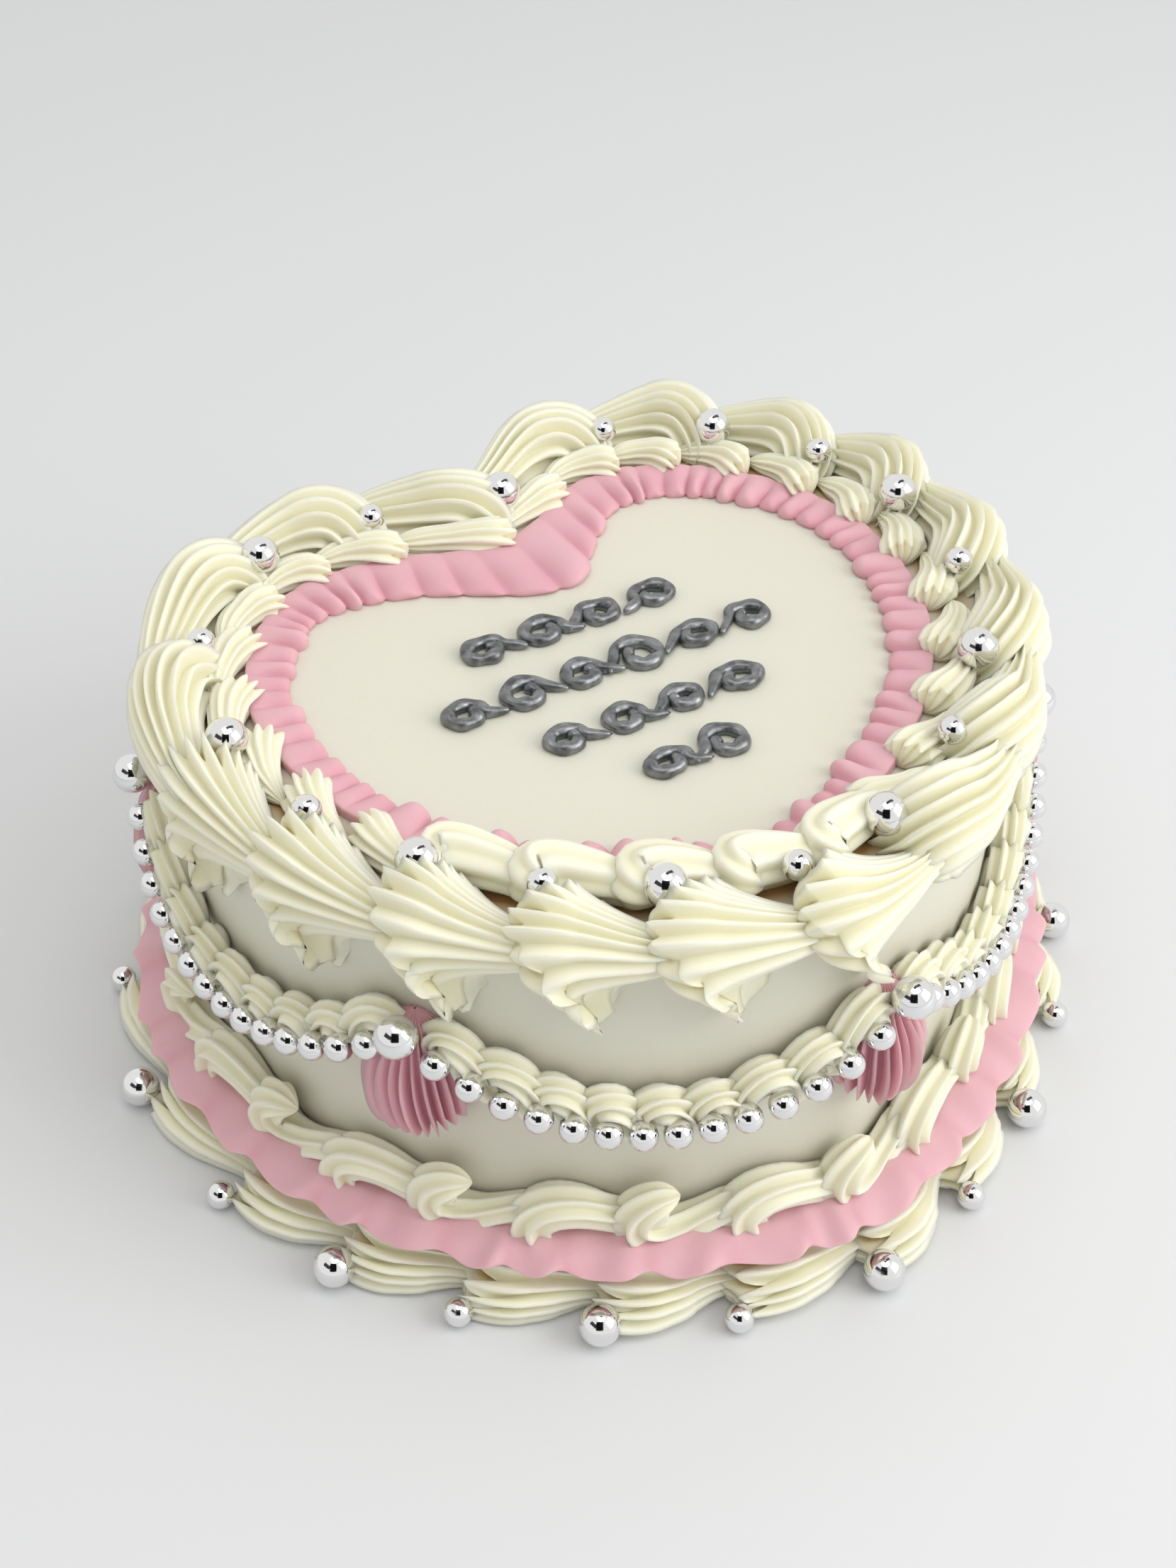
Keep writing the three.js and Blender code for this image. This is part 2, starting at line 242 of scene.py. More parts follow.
def round_section(turn, keys):
    """Keys by degrees round the section, where 0 looks out of the wall and 90 looks up."""
    degrees = np.mod(np.degrees(turn) + 180, 360) - 180
    return keyed(degrees, keys)


print("between two crests lies", star_section({"ridges": 5}, np.array([0.1]), np.ones(5))[0])

# %% [markdown]
# ## A stroke of the piping bag
# A stroke starts where the tip touches. Icing wells up there and spreads, the ridges spring back from the
# start, and then the tip is pulled along until the pressure stops and the rope fades to a tail. Seen from
# its start, a shell is a fan: the ridges end in a rim of teeth, and the lowest ones hang over and hook
# back. We build a stroke from its rim to its tail, and close its start with a ribbed cap, the nose, that
# leans into the fan. A stroke is a closed skin, so it is a solid form with a true thickness.
#
# Each tip is a set of named values:
# - rim: how far along the path the ridges start, by degrees round the section
# - open: how clearly the rim shows as teeth there, from 0 to 1
# - hooked and hook: where the ridges hang over, and by how much back, inwards and down in millimetres
# - fat, groove: how wide the stroke is and how deep its grooves are, by share of its length
# - crowd: how much wider the ridges are on the lower outer side than on the upper inner side

# %% A stroke
NOSE = 0.2
START_CROWDING = 1.7
HOOK_RUN = 0.21
GROOVE_SHADE = 0.75


def ridge_start(tip, turn, valley, uneven):
    """How far along the path the ridges start, with a tooth for each, and how open the rim is there."""
    low = np.clip(-np.sin(turn), 0, 1)
    open_here = round_section(turn, tip["open"])
    tooth = valley ** (tip["blunt"] + 2.2 * low) + 0.3 * uneven
    return round_section(turn, tip["rim"]) + tip["teeth"] * open_here * tooth, open_here


def hang(tip, turn, hook):
    """How far the ends of the lowest ridges go back along the path, sideways and down."""
    hooked = np.clip(round_section(turn, tip["hooked"]), 0, 1)
    back, splay, down = tip["hook"]
    return hooked, back * np.sqrt(hooked) * hook**2.5, splay * hooked * hook**2, down * hooked * hook**2


def stroke(tip, path, rng, face=(0, 0, 1)):
    """A form for one stroke. It gives places along, out and up, in millimetres, not yet bent round."""
    phase = rng.uniform(0, 1)
    wander = rng.uniform(-1, 1, 3)
    ridge_size = rng.uniform(-1, 1, tip["ridges"])
    path = np.array(path, float)

    def form(u, v):
        valley, uneven = star_section(tip, u, ridge_size)
        lean = tip["lean"] * np.sin(2 * np.pi * tip["ridges"] * u) / tip["ridges"]
        start_turn = 2 * np.pi * (u + phase / tip["ridges"]) + lean + 0.1 * wander[1]
        start_turn = start_turn + tip["crowd"] * np.sin(start_turn + np.pi / 4)
        rim, open_here = ridge_start(tip, start_turn, valley, uneven)
        nose = np.clip(1 - v / NOSE, 0, 1)
        from_rim = (1 - rim) * np.clip((v - NOSE) / (1 - NOSE), 0, 1) ** START_CROWDING
        s = (rim + from_rim) * (1 - nose)
        centre, along, side, high = path_frame(path, s, face)

        hook = np.exp(-from_rim / HOOK_RUN) * (1 - nose)
        hooked, back, splay, down = hang(tip, start_turn, hook)
        near_rim = np.exp(-from_rim / tip["flare_run"]) * (1 - nose)
        under_nose = np.clip(nose * 6, 0, 1)
        cap = (1 - tip["inset"] * open_here * under_nose) * np.sqrt(np.clip(1 - nose**2, 0, 1))
        fat = keyed(s, tip["fat"]) * (1 + 0.025 * np.sin(7 * s + 3 * wander[0]))
        keep = 1 - tip["depth"] * keyed(s, tip["groove"]) * valley ** (1 + 0.8 * hooked * hook)
        reach = fat * keep * (1 + tip["uneven"] * uneven) * cap
        flare = tip["flare"] * open_here * near_rim * keep
        sway = 0.05 * np.sin(3 * start_turn + 6 * wander[2]) + 0.03 * np.sin(8 * s + 6 * wander[0])
        turn = start_turn + tip["twist"] * (s - 0.3) + sway
        places = (
            centre
            + along * back[:, None]
            + side * (tip["wide"] * (reach + 0.3 * flare) * np.cos(turn) + splay)[:, None]
            + high * (tip["tall"] * (reach + flare) * np.sin(turn) - down)[:, None]
        )
        # Painted shade: grooves get darker by their depth, and the open start of a fan, on its upper side,
        # gets extra painted shade by the tip's dark value.
        on_show = np.clip(1 + np.sin(start_turn), 0, 1)
        fan_shade_paint = tip["dark"] * open_here * np.exp(-nose * 3) * under_nose * on_show
        return places, np.clip(GROOVE_SHADE * valley * (1 - 0.3 * s) + fan_shade_paint, 0, 1)

    return form


def laid(form, share, floor=None):
    """Bends a form round the heart's wall from a share of the way. A soft floor flattens its foot."""
    def placed(u, v):
        places, depth = form(u, v)
        up = places[:, 2]
        if floor is not None:
            up = np.where(up < floor, floor * np.exp(np.minimum(up / floor, 1) - 1), up)
        return around(share + places[:, 0] / PERIMETER, places[:, 1], up), depth

    return placed


print("a stroke's nose takes", NOSE, "of its rows")

# %% [markdown]
# ## Icing
# Buttercream is pale and waxy. Light goes a little way in and comes out warmer, so the grooves look
# more yellow than the crests. We use a Principled shader with some subsurface light, paint a warmer, darker
# colour into the grooves and dark amber into the deepest hollows as painted shade, from the depth that the
# forms stored, and add a very fine bump.

# %% Icing materials
def shader_nodes(material):
    material.use_nodes = True
    tree = material.node_tree
    return tree, tree.nodes["Principled BSDF"]


def noise(tree, scale, detail=3.0):
    place = tree.nodes.new("ShaderNodeTexCoord")
    made = tree.nodes.new("ShaderNodeTexNoise")
    made.inputs["Scale"].default_value = scale
    made.inputs["Detail"].default_value = detail
    tree.links.new(place.outputs["Object"], made.inputs["Vector"])
    return made


def ramp(tree, source, stops):
    made = tree.nodes.new("ShaderNodeValToRGB")
    elements = made.color_ramp.elements
    while len(elements) < len(stops):
        elements.new(0.5)
    for element, (place, colour) in zip(elements, stops):
        element.position = place
        element.color = (*colour, 1)
    tree.links.new(source, made.inputs["Fac"])
    return made.outputs["Color"]


def bump(tree, height, strength, distance):
    made = tree.nodes.new("ShaderNodeBump")
    made.inputs["Strength"].default_value = strength
    made.inputs["Distance"].default_value = distance
    tree.links.new(height, made.inputs["Height"])
    return made.outputs["Normal"]


def icing(name, crest, groove, hollow_shade, roughness=0.5):
    material = bpy.data.materials.new(name)
    tree, shader = shader_nodes(material)
    depth = tree.nodes.new("ShaderNodeAttribute")
    depth.attribute_name = "depth"
    # The groove and hollow colours are painted shade: darker in the grooves, dark amber in the deepest
    # hollows.
    colour = ramp(tree, depth.outputs["Fac"], [(0.0, crest), (0.75, groove), (1.0, hollow_shade)])
    tree.links.new(colour, shader.inputs["Base Color"])
    shader.inputs["Roughness"].default_value = roughness
    shader.inputs["Subsurface Weight"].default_value = 0.25
    shader.inputs["Subsurface Radius"].default_value = (1.0, 0.75, 0.4)
    shader.inputs["Subsurface Scale"].default_value = 0.003
    shader.inputs["Specular IOR Level"].default_value = 0.35
    fine = noise(tree, 900)
    tree.links.new(bump(tree, fine.outputs["Fac"], 0.25, 0.0002), shader.inputs["Normal"])
    return material


cream = icing("buttercream", (0.86, 0.845, 0.715), (0.80, 0.77, 0.55), (0.60, 0.42, 0.15))
print("made", cream.name)

# %% [markdown]
# ## Pink icing, silver coating and grey icing
# The pink is the same buttercream with a drop of colour, so it uses the same function. The smooth icing
# gets amber painted shade in the narrow gaps under the borders, and its form stores where they are.
# Sugar balls have a thin metal coating that is worn in places, and the writing icing is grey with a
# pearl dust on it, so both are metallic and a little rough.

# %% Other materials
# Its groove and hollow colours are amber painted shade for the narrow gaps under the borders.
smooth_cream = icing("smooth_icing", (0.70, 0.685, 0.585), (0.55, 0.38, 0.20), (0.42, 0.20, 0.06), 0.45)
pink = icing("pink_buttercream", (0.72, 0.425, 0.475), (0.66, 0.31, 0.37), (0.5, 0.14, 0.19), 0.5)


def silver():
    material = bpy.data.materials.new("silver")
    tree, shader = shader_nodes(material)
    shader.inputs["Base Color"].default_value = (0.83, 0.83, 0.84, 1)
    shader.inputs["Metallic"].default_value = 1.0
    worn = noise(tree, 260, 5)
    rough = ramp(tree, worn.outputs["Fac"], [(0.35, (0.04,) * 3), (0.6, (0.1,) * 3), (0.75, (0.3,) * 3)])
    tree.links.new(rough, shader.inputs["Roughness"])
    tree.links.new(bump(tree, noise(tree, 420).outputs["Fac"], 0.12, 0.0003), shader.inputs["Normal"])
    return material


def pearly_grey():
    material = bpy.data.materials.new("grey_icing")
    tree, shader = shader_nodes(material)
    streaks = noise(tree, 300, 4)
    colour = ramp(tree, streaks.outputs["Fac"], [(0.3, (0.10, 0.105, 0.11)), (0.7, (0.30, 0.31, 0.32))])
    tree.links.new(colour, shader.inputs["Base Color"])
    shader.inputs["Metallic"].default_value = 0.75
    shader.inputs["Roughness"].default_value = 0.32
    tree.links.new(bump(tree, streaks.outputs["Fac"], 0.3, 0.0004), shader.inputs["Normal"])
    return material


silver_coat = silver()
grey = pearly_grey()
print("materials", [m.name for m in bpy.data.materials])

# %% [markdown]
# ## The smooth body
# The body is spread and scraped, so its wall waves by a fraction of a millimetre and its top edge is
# rounded. One closed skin runs from the middle of the underside, up the wall and over to the middle of
# the top.

# %% The smooth body
CAKE_HEIGHT = 103
EDGE_ROUND = 3
BODY_COLUMNS = 240
BODY_ROWS = 60
FOOT_ROW = 8
SHOULDER_ROW = 20
TOP_ROW = 24
TOP_CENTRE = np.array([0.0, -12.0])
TOP_WAVE = 0.15
GAP_SHADE_PLACE = 9
GAP_SHADE_WIDTH = 4


def body_form(u, v):
    """The underside up to the foot row, the wall to the shoulder row, its round edge, and then the top."""
    rng = np.random.default_rng(7)
    wobble = sum(
        0.22 * np.sin(2 * np.pi * (k * u + rng.uniform()) + 4 * v * rng.uniform()) for k in (3, 5, 8, 13)
    )
    rows = v * BODY_ROWS
    on_top = (rows - TOP_ROW) / (BODY_ROWS - TOP_ROW)
    share_in = np.where(rows <= FOOT_ROW, 1 - rows / FOOT_ROW, np.where(rows >= TOP_ROW, on_top, 0))
    turn = np.clip((rows - SHOULDER_ROW) / (TOP_ROW - SHOULDER_ROW), 0, 1) * np.pi / 2
    out = np.where(rows >= SHOULDER_ROW, -EDGE_ROUND * (1 - np.cos(turn)), 0.0) + wobble * 0.4
    shoulder = CAKE_HEIGHT - EDGE_ROUND
    up = np.clip((rows - FOOT_ROW) / (SHOULDER_ROW - FOOT_ROW), 0, 1) * shoulder
    up = np.where(rows >= SHOULDER_ROW, shoulder + EDGE_ROUND * np.sin(turn), up)
    rim = around(u, out, up)
    centre = np.concatenate([np.broadcast_to(TOP_CENTRE * MM, rim[:, :2].shape), rim[:, 2:]], -1)
    places = rim + (centre - rim) * share_in[:, None]
    wave = np.clip(share_in * 12, 0, 1) * np.sin(places[:, 0] * 90) * np.sin(places[:, 1] * 70)
    places[:, 2] += np.where(rows > TOP_ROW, TOP_WAVE * MM * wave, 0)
    from_wall = share_in * np.linalg.norm(centre - rim, axis=1) / MM
    # Painted shade: a ring on the top, just inside the wall, where the gap under the borders turns amber.
    gap = np.exp(-(((from_wall - GAP_SHADE_PLACE) / GAP_SHADE_WIDTH) ** 2)) * (rows > TOP_ROW - 1)
    return places, gap


def body():
    bm = new_bmesh()
    wrap(bm, BODY_COLUMNS, BODY_ROWS, body_form)
    return finish_piece("smooth_body", bm, smooth_cream, ["cake"])


body()

# %% [markdown]
# ## The large shells of the top border
# Eighteen shells lie over the top edge, each piped over the tail of the last. They are uneven, so we list
# where each one starts, as measured in the photograph. The ones at the front were started with the bag
# low, and open as fans with a comb of teeth on top and hooked ends below. The others were started with the
# bag upright and are closed domes, whose ridges rise from under the small shells and arch over.

# %% Top shells
TOP_SHELLS = [
    0.988, 0.034, 0.092, 0.147, 0.209, 0.267, 0.316, 0.370, 0.425,
    0.494, 0.548, 0.605, 0.674, 0.741, 0.796, 0.847, 0.894, 0.938,
]
SHELL_TIP = {
    "ridges": 17, "depth": 0.32, "lean": 0.35, "uneven": 0.05, "twist": -0.2, "crowd": 0,
    "wide": 10.2, "tall": 14.0,
    "fat": [
        (0, 0.6), (0.08, 0.86), (0.2, 1.0), (0.38, 1.0), (0.6, 0.8), (0.8, 0.58), (0.94, 0.42), (1, 0.02),
    ],
    "groove": [(0, 0.9), (0.5, 1), (1, 0.6)],
    "rim": [(-180, 0.02), (180, 0.02)], "open": [(-180, 0), (180, 0)],
    "teeth": 0.085, "blunt": 1.2, "inset": 0.2, "dark": 0.9, "flare": 0, "flare_run": 0.09,
    "hooked": [(-180, 0), (180, 0)], "hook": (0, 0, 0),
}
DOME_PATH = [
    (5, -6, 97), (6.5, -4, 102.5), (11, -1.2, 105.6), (18, 0.8, 105),
    (27, 1.4, 103.8), (36, 2, 102.8), (45, 2, 102),
]
FAN_TIP = {
    **SHELL_TIP, "ridges": 18, "depth": 0.3, "wide": 11.8, "tall": 12.8, "crowd": 0.42,
    "fat": [
        (0, 0.95), (0.1, 1.0), (0.25, 0.95), (0.4, 0.8), (0.6, 0.56), (0.8, 0.35), (0.93, 0.26), (1, 0.02),
    ],
    "rim": [
        (-180, 0.55), (-120, 0.5), (-90, 0.42), (-60, 0.22), (-30, 0.09), (0, 0.03),
        (25, 0.03), (60, 0.08), (90, 0.15), (135, 0.32), (180, 0.5),
    ],
    "open": [
        (-180, 0.5), (-120, 1), (-50, 1), (-15, 0.6), (20, 0.3), (70, 0.5), (100, 1), (150, 1), (180, 0.5),
    ],
    "teeth": 0.1, "flare": 0.3, "flare_run": 0.12,
    "hooked": [
        (-180, 0), (-110, 0), (-85, 0.4), (-60, 0.9), (-25, 1), (0, 0.8), (25, 0.35), (45, 0), (180, 0),
    ],
    "hook": (7, 0.5, 7.6),
}
FAN_PATH = [
    (-2.5, -2, 99), (4, -1.2, 101.6), (11, -1, 102), (19, -0.4, 102),
    (28, 0.4, 101.8), (37, 1, 101.8), (45, 1.5, 101.8),
]
FAN_SHARES = (0.73, 0.02)
SHELL_PITCH = 34


def pitch_after(shares, i):
    """The distance to the next place in a list of shares round the wall, in millimetres."""
    return np.mod(shares[(i + 1) % len(shares)] - shares[i], 1) * PERIMETER


def stretched(path, factor):
    return [(x * factor, out, up) for x, out, up in path]


def top_shells():
    bm = new_bmesh()
    for i, share in enumerate(TOP_SHELLS):
        rng = np.random.default_rng(100 + i)
        at_front = share > FAN_SHARES[0] or share < FAN_SHARES[1]
        tip, path = (FAN_TIP, FAN_PATH) if at_front else (SHELL_TIP, DOME_PATH)
        path = stretched(path, pitch_after(TOP_SHELLS, i) / SHELL_PITCH)
        wrap(bm, 8 * tip["ridges"], 48, laid(stroke(tip, path, rng), share))
    return finish_piece("top_shell_border", bm, cream, ["top_outer_border"])


top_shells()

# %% [markdown]
# ## The small shells inside them
# A smaller tip made the row inside the large shells. Most are short fans that point at the pink ruffle.
# At the front they were piped so fast that they fold into smooth loops, taller and hardly ridged, so those
# get a blunter tip and a path that first turns back on itself.

# %% Inner shells
INNER_SHELLS = {"count": 26, "phase": 0.05}
SMALL_TIP = {
    **FAN_TIP, "ridges": 11, "crowd": 0, "wide": 6.0, "tall": 5.4, "twist": 0.3, "depth": 0.34, "dark": 0.3,
    "hook": (0, 0, 0),
    "rim": [(-180, 0.06), (-90, 0.2), (0, 0.2), (90, 0.08), (180, 0.06)], "open": [(-180, 1), (180, 1)],
    "fat": [(0, 0.9), (0.2, 1.05), (0.5, 0.82), (0.8, 0.55), (1, 0.02)], "flare": 0.16, "inset": 0.1,
}
SMALL_PATH = [
    (0, -18.5, 103.5), (4, -17, 105.5), (8, -15, 106), (12.5, -13.4, 105.8),
    (17, -12.2, 105.4), (22, -11.8, 105), (28, -11.6, 104.5),
]
LOOP_SHELL_TIP = {
    **SMALL_TIP, "ridges": 7, "wide": 6.8, "tall": 7.4, "depth": 0.16, "uneven": 0.02, "flare": 0,
    "rim": [(-180, 0.02), (180, 0.02)], "open": [(-180, 0), (180, 0)],
    "fat": [
        (0, 0.1), (0.06, 0.5), (0.14, 0.85), (0.28, 1.04), (0.45, 1.0),
        (0.6, 0.92), (0.8, 0.75), (0.93, 0.6), (1, 0.02),
    ],
}
LOOP_SHELL_PATH = [
    (8, -10, 107), (3, -12, 109), (2, -14.5, 109.5), (7, -16, 109.5),
    (13, -16, 109), (19, -15.4, 108.5), (24, -14.6, 107.5), (29, -14, 106.5),
]
LOOP_SHARES = (0.84, 0.02)


def inner_shells():
    bm = new_bmesh()
    for i in range(INNER_SHELLS["count"]):
        rng = np.random.default_rng(200 + i)
        share = (i + INNER_SHELLS["phase"]) / INNER_SHELLS["count"]
        at_front = share > LOOP_SHARES[0] or share < LOOP_SHARES[1]
        tip, path = (LOOP_SHELL_TIP, LOOP_SHELL_PATH) if at_front else (SMALL_TIP, SMALL_PATH)
        wrap(bm, 72, 36, laid(stroke(tip, path, rng), share))
    return finish_piece("top_inner_shells", bm, cream, ["top_inner_border"])


inner_shells()

# %% [markdown]
# ## The shells at the foot
# The foot has its own row of broad shells that sit on the board. They are fans too, but lie on their side,
# so their hooked ends point at the floor and out. A soft floor keeps them on it without a hard cut.

# %% Base shells
BASE_SHELLS = [
    0.002, 0.043, 0.084, 0.132, 0.177, 0.223, 0.269, 0.314, 0.360, 0.406, 0.452,
    0.497, 0.543, 0.589, 0.634, 0.680, 0.731, 0.784, 0.832, 0.873, 0.916, 0.957,
]
BASE_TIP = {
    **FAN_TIP, "ridges": 19, "crowd": 0, "depth": 0.32, "wide": 15.5, "tall": 10.6, "twist": -0.3,
    "fat": [
        (0, 0.9), (0.12, 1.0), (0.25, 1.0), (0.4, 0.88), (0.6, 0.7), (0.8, 0.54), (0.93, 0.46), (1, 0.02),
    ],
    "rim": [(-180, 0.3), (-90, 0.3), (-45, 0.2), (0, 0.06), (40, 0.03), (90, 0.1), (135, 0.2), (180, 0.3)],
    "open": [(-180, 0.5), (-60, 1), (0, 1), (60, 0.8), (120, 0.5), (180, 0.5)], "flare": 0.16,
    "hooked": [(-180, 0), (-60, 0), (0, 0.45), (20, 0.85), (45, 0.9), (60, 0.5), (75, 0), (180, 0)],
    "hook": (7, 1, 6),
}
BASE_PATH = [(2, 5, 1), (7, 8, 4), (12, 8.4, 4), (17, 7.6, 3.6), (22, 7, 3.4), (28, 6.8, 3), (34, 6.8, 3)]
BASE_PITCH = 26
SOFT_FLOOR = 1.6


def base_shells():
    bm = new_bmesh()
    for i, share in enumerate(BASE_SHELLS):
        rng = np.random.default_rng(300 + i)
        path = stretched(BASE_PATH, pitch_after(BASE_SHELLS, i) / BASE_PITCH)
        wrap(bm, 8 * BASE_TIP["ridges"], 44, laid(stroke(BASE_TIP, path, rng), share, floor=SOFT_FLOOR))
    return finish_piece("foot_shells", bm, cream, ["base_shells"])


base_shells()

# %% [markdown]
# ## The rope above the foot ruffle
# Here the bag went up and over, then down and under, by turns, while it moved along. Each stroke is the
# letter S laid down: a small curl at its start, and a tail that the next one covers. One path does for
# both kinds, mirrored for every second stroke.

# %% Rope
ROPE = {"count": 28, "phase": 0}
ROPE_TIP = {
    **FAN_TIP, "ridges": 8, "crowd": 0, "depth": 0.34, "lean": 0.2, "twist": 0.9, "uneven": 0.08,
    "wide": 5.8, "tall": 5.8,
    "fat": [
        (0, 0.1), (0.05, 0.45), (0.12, 0.78), (0.28, 1.0), (0.5, 1.0), (0.72, 0.82), (0.93, 0.62), (1, 0.02),
    ],
    "rim": [(-180, 0.02), (180, 0.02)], "open": [(-180, 0), (180, 0)], "flare": 0,
    "hook": (0, 0, 0),
}
ROPE_UP = 20.5
DOWN_CURL = [
    (9, 6, -8), (4.5, 7, -8), (0.5, 7, -4.5), (0, 6.5, 0.5), (4, 6, 4),
    (10, 5.5, 4), (16, 5, 1.5), (22, 4.6, -0.6), (27, 4.4, -1),
]


def rope():
    bm = new_bmesh()
    for i in range(ROPE["count"]):
        rng = np.random.default_rng(400 + i)
        share = (i + ROPE["phase"]) / ROPE["count"]
        way_up = 1 if i % 2 else -1
        path = [(x, out, ROPE_UP + way_up * up) for x, out, up in DOWN_CURL]
        wrap(bm, 72, 36, laid(stroke(ROPE_TIP, path, rng, face=(0, 1, 0)), share))
    return finish_piece("curled_rope", bm, cream, ["base_rope"])


rope()

# %% [markdown]
# ## Ruffles
# A petal tip leaves a flat ribbon with one thin edge. Shaken in and out as it moves, it lies in pleats.
# Each ruffle is one ring. Its section is a few keys across, and the pleats move the thin edge in, out, up
# and down, more the nearer a point is to that edge. The pleats get closer here and wider there, and each
# gather of the top ruffle bulges by its own amount.

# %% Ruffles
TOP_RUFFLE = {"pleats": 70, "edge": -27.9, "outside": -19.0, "thick": 3.0, "bulge_in": 3.6, "bulge_up": 3.2}
BASE_RUFFLE = {"pleats": 42, "wave_in": 2.3}
BASE_SECTION = np.array([
    (1, 15), (1, 18.4), (6, 18.6), (12, 18.0), (16.5, 16.9),
    (19.4, 15.6), (19.2, 14.8), (15, 14.4), (8, 14.4), (1, 15),
])


def flap(share, reach, spread):
    """How much further in the top ruffle reaches near the notch of the heart."""
    return reach * np.exp(-(((share - 0.5) / spread) ** 2))


def uneven_turns(u, pleats, rng, spread):
    """Turns that grow by one a pleat, a little faster here and slower there."""
    return u * pleats + sum(spread * np.sin(2 * np.pi * (k * u + rng.uniform())) for k in (3, 7, 12, 19))


def top_ruffle_form(u, v):
    rng = np.random.default_rng(11)
    turns = uneven_turns(u, TOP_RUFFLE["pleats"], rng, 0.12)
    sizes = rng.uniform(0.5, 1.1, TOP_RUFFLE["pleats"])
    bulge = np.abs(np.sin(np.pi * turns)) ** 0.8 * sizes[np.floor(turns).astype(int) % TOP_RUFFLE["pleats"]]
    crease_shade = 1 - bulge
    inside = TOP_RUFFLE["edge"] - TOP_RUFFLE["bulge_in"] * bulge - flap(u, 8, 0.025) - flap(u, 6, 0.11)
    across = keyed(v, [(0, 0), (0.12, 0), (0.16, 0.02), (0.5, 0.5), (0.8, 0.93), (0.9, 1.0), (1, 0.96)])
    rise = keyed(v, [
        (0, 0), (0.1, 0.8), (0.2, 1), (0.55, 0.95), (0.72, 0.85), (0.84, 0.6), (0.93, 0.25), (1, 0),
    ])
    fold = keyed(v, [(0, 0.2), (0.3, 0.3), (0.7, 1), (1, 1)])
    out = TOP_RUFFLE["outside"] + (inside - TOP_RUFFLE["outside"]) * across
    out = out + 0.5 * np.sin(2 * np.pi * turns + 5 * v) * fold * across
    up = CAKE_HEIGHT + (TOP_RUFFLE["thick"] + (TOP_RUFFLE["bulge_up"] * bulge - 1.4) * fold) * rise
    # The creases between the gathers get painted shade, more towards the thin edge.
    return around(u + 0.8 * v * fold / PERIMETER, out, up), crease_shade * 0.7 * fold


def base_ruffle_form(u, v):
    rng = np.random.default_rng(12)
    turns = 2 * np.pi * uneven_turns(u, BASE_RUFFLE["pleats"], rng, 0.09)
    wave = 0.5 + 0.5 * np.sin(turns + 0.5 * np.sin(turns))
    out, up = on_path(BASE_SECTION, v).T
    loose = np.clip((out - 5) / 14, 0, 1) ** 1.5
    dip = 0.25 * np.sin(5 * turns / 3 + 9 * v) * np.clip(out / 10, 0, 1)
    up = up + np.cos(turns) * loose + dip
    # The pushed-in folds get painted shade, more towards the loose edge.
    return around(u, out - BASE_RUFFLE["wave_in"] * wave * loose, up), wave**6 * 0.4 * loose


def ruffle(name, form, columns, rows, node):
    bm = new_bmesh()
    wrap(bm, columns, rows, form)
    return finish_piece(name, bm, pink, [node])


ruffle("top_pink_ruffle", top_ruffle_form, TOP_RUFFLE["pleats"] * 16, 24, "top_ruffle")
ruffle("foot_pink_ruffle", base_ruffle_form, BASE_RUFFLE["pleats"] * 20, 36, "base_ruffle")

# %% [markdown]
# ## Swags
# Six garlands hang on the wall. Each is a row of small loops that the bag made as it moved along a hanging
# curve, so we place one looped stroke after another along that curve and tilt each to its slope.

# %% Swags
SWAG = {"count": 6, "phase": 0.018, "top": 75, "sag": 19, "loops": 9, "end": 4}
LOOP_TIP = {
    **ROPE_TIP, "ridges": 8, "wide": 4.4, "tall": 4.4, "depth": 0.46, "twist": 2.0,
    "fat": [(0, 0.3), (0.06, 0.8), (0.3, 1.0), (0.6, 1.0), (0.85, 0.8), (1, 0.02)],
}


SWAG_LOOP = [
    (-2, 3, -9), (-4, 3.8, -4), (-3.5, 4.6, 1), (0, 5.2, 4),
    (3.6, 5.4, 2.6), (5.6, 5.2, -2), (5.6, 4.4, -6), (3.6, 3.4, -9),
]


def swag_height(w):
    """The height of a swag's middle, from one end at 0 to the other at 1."""
    return SWAG["top"] - SWAG["sag"] * 4 * w * (1 - w)


def swag_share(start, w):
    """The share of the way round the wall, for the same places along a swag that begins at start."""
    inset = SWAG["end"] / PERIMETER
    return start + inset + (1 / SWAG["count"] - 2 * inset) * w


def swag(i):
    bm = new_bmesh()
    start = i / SWAG["count"] + SWAG["phase"]
    for k in range(SWAG["loops"]):
        rng = np.random.default_rng(500 + 20 * i + k)
        w = (k + 0.5) / SWAG["loops"]
        base = swag_height(w)
        slope = (swag_height(w + 0.02) - swag_height(w - 0.02)) / 0.04 / (PERIMETER / SWAG["count"])
        size = 0.94 + 0.18 * rng.uniform(-1, 1)
        path = [(x * size, out, base + up * size + slope * x) for x, out, up in SWAG_LOOP]
        form = stroke(LOOP_TIP, path, rng, face=(0, 1, 0))
        wrap(bm, 56, 30, laid(form, swag_share(start, w)))
    return finish_piece(f"swag_{i + 1}_loops", bm, cream, [f"swag_{i + 1}"])


for index in range(SWAG["count"]):
    swag(index)

# %% [markdown]
# ## Drops
# Where two swags meet, a large star tip was pressed on the wall and pulled straight up. That leaves a pink
# drop with thin, deep ridges that fan out over a round foot, and its tail ends behind the sugar ball.

